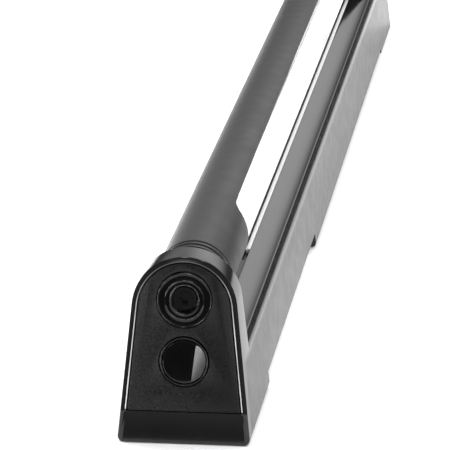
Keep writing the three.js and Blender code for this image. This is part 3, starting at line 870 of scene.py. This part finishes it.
def lever_arm():
    """A tapering bar with a round eye at each end and bevelled edges."""
    hub_r, tip_r = 10.2, 6.4
    lean = math.acos((hub_r - tip_r) / LEVER_REACH)
    points = []
    for centre, radius, start, end in ((0, hub_r, -math.pi + lean, math.pi - lean),
                                       (-LEVER_REACH, tip_r, math.pi - lean, math.pi + lean)):
        turns = [start + (end - start) * k / 48 for k in range(49)]
        points += [(centre + radius * math.cos(t), AXIS_Z + radius * math.sin(t)) for t in turns]
    arm = bevel(prism("lever_arm_piece", points, LEVER_START, LEVER_END), 0.7, 4, 50)
    bore = cylinder("bore", JOURNAL_R + 0.3, LEVER_START - 5, LEVER_END + 5)
    above_flat = [(-8, FLAT_Z + 0.3), (8, FLAT_Z + 0.3), (8, 50), (-8, 50)]
    flat = prism("flat", above_flat, LEVER_START - 9, LEVER_END + 9)
    cut(bore, flat)
    cut(arm, bore, cylinder("axle_hole", 2.5, LEVER_START - 5, LEVER_END + 5, ON_ROLLER, 64))
    cut(arm, cylinder("clamp_hole", 2.1, 0, 20, upright(0, CLAMP_Y, AXIS_Z + 2), 48))
    finish_piece(arm, "tube", "casting", "lever_arm", angle=38)


def far_spindle():
    outline = [(0, SPINDLE_START), (JOURNAL_R - 0.3, SPINDLE_START), (JOURNAL_R, SPINDLE_START + 0.3),
               (JOURNAL_R, SPINDLE_END - 0.5), (JOURNAL_R - 0.5, SPINDLE_END), (0, SPINDLE_END)]
    body = lathe("far_spindle_piece", outline)
    cut(body, prism("flat", [(-8, FLAT_Z), (8, FLAT_Z), (8, 50), (-8, 50)], LEVER_START, SPINDLE_END + 5),
        cylinder("bar_hole", 2.1, SPINDLE_START - 5, span("torsion_bar", 1)[1] + 0.3, sides=48),
        cylinder("tapping", 1.9, SPINDLE_END - 12, SPINDLE_END + 5, sides=48))
    finish_piece(body, "tube", "dark_steel", "far_spindle")


def socket_screw(name, node, place, outline, socket_r, top):
    screw = lathe(name, outline, place, 64)
    cut(screw, hexagon("socket", socket_r, top - 2.4, top + 2, place))
    finish_piece(screw, "tube", "dark_steel", node, angle=30)


def screws():
    socket_screw("lever_screw_piece", "lever_screw", upright(0, CLAMP_Y, FLAT_Z + 0.3), [
        (0, 0), (1.5, 0), (1.8, 0.3), (1.8, 5.9), (3.0, 5.9), (3.2, 6.1), (3.2, 7.9), (3.12, 8.2),
        (2.9, 8.42), (2.6, 8.5), (0, 8.5)], 1.5, 8.5)
    head = LEVER_END + 1.6
    socket_screw("spindle_screw_piece", "spindle_screw", ON_AXIS, [
        (0, SPINDLE_END - 10), (1.3, SPINDLE_END - 10), (1.6, SPINDLE_END - 9.7), (1.6, head), (4.0, head),
        (4.2, head + 0.2), (4.2, head + 1.7), (4.1, head + 2.1), (3.85, head + 2.42), (3.4, head + 2.6),
        (0, head + 2.6)], 1.7, head + 2.6)
    y0, y1 = span("spindle_washer", 1)
    washer = ring("spindle_washer_piece", 2.0, 7.2, y0, y1, edge=0.25)
    finish_piece(washer, "tube", "steel", "spindle_washer", angle=50)


def wheel():
    """A rubber roller with a moulded groove in each face and a slight crown."""
    middle, half = (ROLLER_START + ROLLER_END) / 2, (ROLLER_END - ROLLER_START) / 2
    side = [(2.5, half - 0.2), (2.7, half), (4.1, half), (4.3, half - 0.2), (4.5, half - 0.7),
            (6.2, half - 0.7), (6.4, half - 0.2), (6.6, half), (ROLLER_R - 1, half),
            (ROLLER_R - 0.4, half - 0.14), (ROLLER_R - 0.1, half - 0.45), (ROLLER_R - 0.02, half - 1.0),
            (ROLLER_R, 0)]
    outline = [(r, middle - y) for r, y in side] + [(r, middle + y) for r, y in reversed(side[:-1])]
    finish_piece(lathe("roller_piece", outline, ON_ROLLER), "roller_wheel", "rubber", "roller", angle=28)
    head, tip = span("roller_axle", 1)
    groove = ROLLER_END + 0.4
    axle = lathe("roller_axle_piece", [
        (0, head), (2.6, head), (3.2, head + 0.1), (3.75, head + 0.45), (4.0, head + 1.0),
        (4.0, head + 2.1), (3.9, head + 2.2), (2.2, head + 2.2), (2.2, groove), (1.5, groove),
        (1.5, groove + 1), (2.2, groove + 1), (2.2, tip - 0.4), (1.8, tip), (0, tip)], ON_ROLLER, 64)
    finish_piece(axle, "tube", "steel", "roller_axle")
    y0, y1 = span("roller_clip", 1)
    clip = ring("roller_clip_piece", 1.8, 4.2, y0, y1, ON_ROLLER, 0.1, 64)
    cut(clip, prism("clip_mouth", [(-1.2, 0), (1.2, 0), (1.2, -9), (-1.2, -9)], y0 - 1, y1 + 1, ON_ROLLER))
    finish_piece(clip, "tube", "steel", "roller_clip", angle=50)


lever_arm()
far_spindle()
screws()
wheel()


# ------------------------------------------------------------------ floor and light
def make_floor():
    corners = [(-6e3, -6e3, 0), (6e3, -6e3, 0), (6e3, 12e3, 0), (-6e3, 12e3, 0)]
    floor = mesh_object("floor", corners, [(0, 1, 2, 3)])
    floor.location.z = cad_box[0][2] - 0.0002
    paint = Paint("pale_floor", Roughness=0.9, Emission_Color=(1, 1, 1, 1), Emission_Strength=0.05)
    paint.tint(paint.noise(3, 2), (0.94, 0.94, 0.94), (0.96, 0.96, 0.96))
    floor.data.materials.append(paint.material)


def area_light(name, place, aim, size, power):
    data = bpy.data.lights.new(name, "AREA")
    data.shape = "RECTANGLE"
    data.size, data.size_y = size
    data.energy = power
    light = bpy.data.objects.new(name, data)
    bpy.context.scene.collection.objects.link(light)
    light.location = place
    light.rotation_euler = (Vector(aim) - Vector(place)).to_track_quat("-Z", "Y").to_euler()


def make_world():
    """A studio whose walls are bright overhead and behind, dim along the horizon and dark in front."""
    world = bpy.data.worlds.new("world")
    bpy.context.scene.world = world
    world.use_nodes = True
    tree = world.node_tree
    link = tree.links.new
    background = tree.nodes["Background"]
    direction = tree.nodes.new("ShaderNodeTexCoord").outputs["Generated"]
    parts = tree.nodes.new("ShaderNodeSeparateXYZ")
    link(direction, parts.inputs[0])

    def step(source, start, end, low, high):
        node = tree.nodes.new("ShaderNodeMapRange")
        node.interpolation_type = "SMOOTHSTEP"
        for key, value in (("From Min", start), ("From Max", end), ("To Min", low), ("To Max", high)):
            node.inputs[key].default_value = value
        link(source, node.inputs["Value"])
        return node.outputs["Result"]

    def calc(operation, a, b):
        return math_node(tree, operation, a, b)

    low_front, low_behind = 0.015, 0.045
    high_front, behind_left, behind_right = 0.25, 0.42, 1.55
    overhead = step(parts.outputs["Z"], 0.08, 0.36, 0.0, 1.0)
    behind = step(parts.outputs["Y"], -0.5, 0.4, 0.0, 1.0)
    low_wall = calc("ADD", low_front, calc("MULTIPLY", behind, low_behind))
    to_right = step(parts.outputs["X"], -0.2, 0.14, behind_left, behind_right)
    high_wall = calc("ADD", high_front, calc("MULTIPLY", behind, to_right))
    wall = calc("ADD", calc("MULTIPLY", low_wall, calc("SUBTRACT", 1.0, overhead)),
                calc("MULTIPLY", high_wall, overhead))
    seen = tree.nodes.new("ShaderNodeLightPath").outputs["Is Camera Ray"]
    strength = calc("ADD", calc("MULTIPLY", wall, calc("SUBTRACT", 1.0, seen)), seen)
    link(strength, background.inputs["Strength"])
    background.inputs["Color"].default_value = (1, 1, 1, 1)


def make_light():
    make_world()
    area_light("right_front_box", (0.45, -0.97, 0.2), (0, 0, 0.12), (0.26, 0.4), 4.5)
    area_light("left_front_box", (-0.7, -0.78, 0.2), (0, 0, 0.12), (0.26, 0.4), 4.5)
    area_light("dash_left", (-0.14, -0.36, 1.0), (0, 0, 0.02), (0.12, 0.16), 1)
    area_light("dash_right", (0.26, -0.36, 1.0), (0, 0, 0.02), (0.12, 0.16), 1)
    area_light("left_fill", (-1.3, 0.7, 0.6), (0, 0.2, 0), (1.2, 0.8), 10)
    area_light("under_tube", (-0.45, 0.33, 0.12), (0, 0.33, 0), (0.35, 0.08), 3.5)
    area_light("top_box", (-0.1, 0.6, 1.5), (0, 0.2, 0), (2.0, 2.0), 20)


make_floor()
make_light()
bpy.context.scene.view_settings.view_transform = "Standard"
